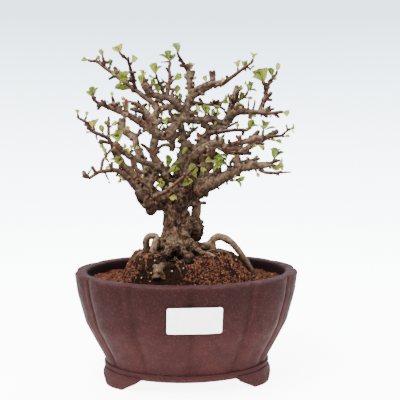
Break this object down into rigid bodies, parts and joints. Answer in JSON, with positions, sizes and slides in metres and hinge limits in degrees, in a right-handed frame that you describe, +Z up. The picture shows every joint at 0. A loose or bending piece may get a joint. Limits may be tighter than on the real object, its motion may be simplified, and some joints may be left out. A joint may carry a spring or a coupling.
{
  "type": "flowering quince bonsai",
  "caption": "Dwarf flowering quince bonsai with a twiggy crown of young leaves and red buds, in an oval lobed clay pot on cloud feet.",
  "frame": {"origin": "centre of the pot's footprint at the height of the surface that it stands on", "axes": "+X across the pot's length to the right of its front, +Y to the back, +Z up; the label faces -Y"},
  "size_m": [0.1878, 0.15, 0.2824],
  "materials": {
    "clay": "unglazed matt purple-brown clay",
    "soil": "rough akadama grains",
    "bark": "rough bark",
    "leaf_green": "satin leaf",
    "leaf_young": "satin young leaf",
    "petal_red": "satin petal",
    "stamen_cream": "matt pollen",
    "calyx_green": "satin calyx",
    "paper": "matt paper",
    "mesh_plastic": "matt plastic"
  },
  "bodies": {
    "root": {"bloom_left_calyx": "calyx_green", "bloom_left_petals": "petal_red", "bloom_left_stamens": "stamen_cream", "bloom_right_calyx": "calyx_green", "bloom_right_petals": "petal_red", "bloom_right_stamens": "stamen_cream", "bud_inner_calyx": "calyx_green", "bud_inner_petals": "petal_red", "bud_left_calyx": "calyx_green", "bud_left_petals": "petal_red", "drain_mesh_left": "mesh_plastic", "drain_mesh_right": "mesh_plastic", "label": "paper", "leaf_tuft_01": "leaf_young", "leaf_tuft_02": "leaf_young", "leaf_tuft_03": "leaf_young", "leaf_tuft_04": "leaf_green", "leaf_tuft_05": "leaf_young", "leaf_tuft_06": "leaf_young", "leaf_tuft_07": "leaf_young", "leaf_tuft_08": "leaf_green", "leaf_tuft_09": "leaf_green", "leaf_tuft_10": "leaf_green", "leaf_tuft_11": "leaf_young", "leaf_tuft_12": "leaf_young", "leaf_tuft_13": "leaf_young", "leaf_tuft_14": "leaf_green", "leaf_tuft_15": "leaf_green", "leaf_tuft_16": "leaf_green", "leaf_tuft_17": "leaf_young", "leaf_tuft_18": "leaf_young", "leaf_tuft_19": "leaf_green", "leaf_tuft_20": "leaf_green", "leaf_tuft_21": "leaf_young", "leaf_tuft_22": "leaf_green", "leaf_tuft_23": "leaf_young", "leaf_tuft_24": "leaf_green", "leaf_tuft_25": "leaf_green", "leaf_tuft_26": "leaf_green", "leaf_tuft_27": "leaf_green", "leaf_tuft_28": "leaf_young", "leaf_tuft_29": "leaf_green", "leaf_tuft_30": "leaf_young", "leaf_tuft_31": "leaf_young", "leaf_tuft_32": "leaf_green", "leaf_tuft_33": "leaf_young", "leaf_tuft_34": "leaf_young", "leaf_tuft_35": "leaf_green", "leaf_tuft_36": "leaf_green", "leaf_tuft_37": "leaf_young", "leaf_tuft_38": "leaf_green", "leaf_tuft_39": "leaf_green", "leaf_tuft_40": "leaf_young", "leaf_tuft_41": "leaf_young", "pot": "clay", "soil": "soil", "wood": "bark"}
  },
  "joints": []
}
